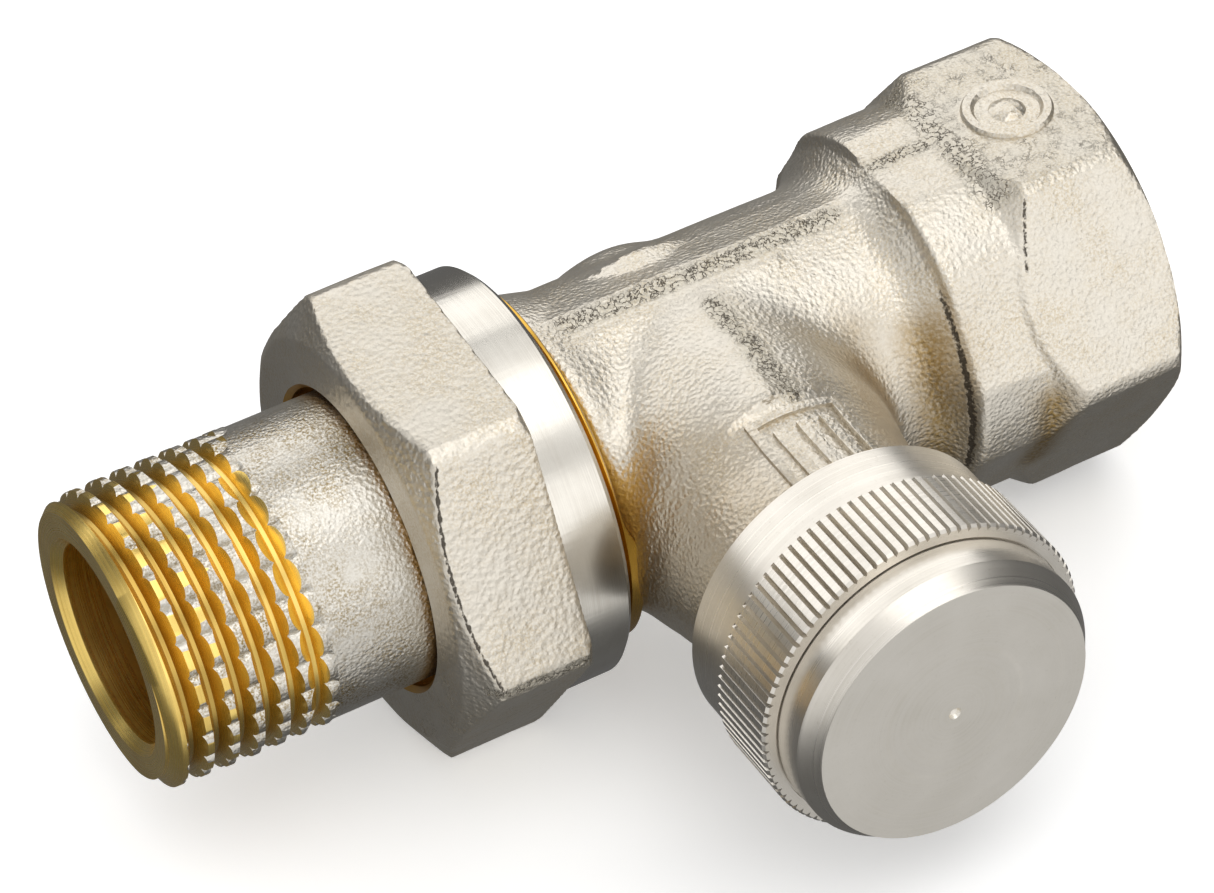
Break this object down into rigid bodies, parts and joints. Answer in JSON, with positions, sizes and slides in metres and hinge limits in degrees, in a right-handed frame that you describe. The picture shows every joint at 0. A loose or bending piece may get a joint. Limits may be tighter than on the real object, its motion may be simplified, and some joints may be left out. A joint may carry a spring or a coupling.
{
  "type": "lockshield valve",
  "caption": "Straight lockshield radiator valve with a male union tailpiece, a female hexagon socket and a knurled cap over a key-operated spindle.",
  "frame": {"origin": "centre of the female socket's mouth, on the pipe axis", "axes": "+X along the pipe axis, out of the female socket; the tailpiece's thread points to -X; -Y along the spindle axis, out through the cap; +Z completes the frame and is square to an upper flat of the body's hexagon"},
  "size_m": [0.0755, 0.0528, 0.0316],
  "materials": {
    "body_nickel": "nickel plate over a shot-blasted forging",
    "nut_nickel": "nickel plate, forged hexagon with a turned collar",
    "cap_nickel": "satin nickel plate on a turned and knurled cap",
    "tail_brass": "machined brass thread and bore with nickel plate left on the barrel",
    "headwork_brass": "turned brass",
    "spindle_brass": "turned brass with a milled key socket",
    "spring_steel": "stainless steel",
    "seal_rubber": "black EPDM",
    "white_ptfe": "white PTFE",
    "fibre_gasket": "red fibre"
  },
  "bodies": {
    "valve": {"valve_body": "body_nickel", "headwork_housing": "headwork_brass", "headwork_seal": "fibre_gasket", "spindle_seal_lower": "seal_rubber", "spindle_seal_upper": "seal_rubber", "gland_washer": "white_ptfe", "gland_nut": "headwork_brass"},
    "disc": {"disc_holder": "headwork_brass", "holder_clip": "spring_steel", "valve_disc": "seal_rubber", "disc_washer": "headwork_brass", "disc_screw": "spring_steel"},
    "spindle": {"spindle": "spindle_brass"},
    "preset_travel": {"preset_seal": "seal_rubber"},
    "preset_screw": {"preset_screw": "spindle_brass"},
    "cap_travel": {"cap_seal": "seal_rubber"},
    "cap": {"lockshield_cap": "cap_nickel"},
    "tail": {"tailpiece": "tail_brass", "tail_seal": "seal_rubber"},
    "nut": {"union_nut": "nut_nickel"}
  },
  "joints": [
    {"name": "disc_travel", "type": "slide", "parent": "valve", "child": "disc", "axis": [0, 1, 0], "range_m": [0, 0.003]},
    {"name": "spindle_turn", "type": "hinge", "parent": "disc", "child": "spindle", "pos_m": [-0.0323, -0.02, 0], "axis": [0, 1, 0], "range_deg": [0, 1080]},
    {"name": "preset_travel", "type": "slide", "parent": "spindle", "child": "preset_travel", "axis": [0, 1, 0], "range_m": [0, 0.0024]},
    {"name": "preset_turn", "type": "hinge", "parent": "preset_travel", "child": "preset_screw", "pos_m": [-0.0323, -0.024, 0], "axis": [0, 1, 0], "range_deg": [0, 1080]},
    {"name": "cap_travel", "type": "slide", "parent": "valve", "child": "cap_travel", "axis": [0, -1, 0], "range_m": [0, 0.005]},
    {"name": "cap_turn", "type": "hinge", "parent": "cap_travel", "child": "cap", "pos_m": [-0.0323, -0.029, 0], "axis": [0, -1, 0], "range_deg": [0, 1800]},
    {"name": "tail_travel", "type": "slide", "parent": "valve", "child": "tail", "axis": [-1, 0, 0], "range_m": [0, 0.00726]},
    {"name": "nut_turn", "type": "hinge", "parent": "tail", "child": "nut", "pos_m": [-0.0505, 0, 0], "axis": [-1, 0, 0], "range_deg": [0, 1440]}
  ],
  "couplings": [
    {"joint": "spindle_turn", "follows": "disc_travel", "rad_per_m": 6283.2},
    {"joint": "preset_turn", "follows": "preset_travel", "rad_per_m": 7854},
    {"joint": "cap_travel", "follows": "cap_turn", "m_per_rad": 0.00015915},
    {"joint": "tail_travel", "follows": "nut_turn", "m_per_rad": 0.00028871}
  ]
}
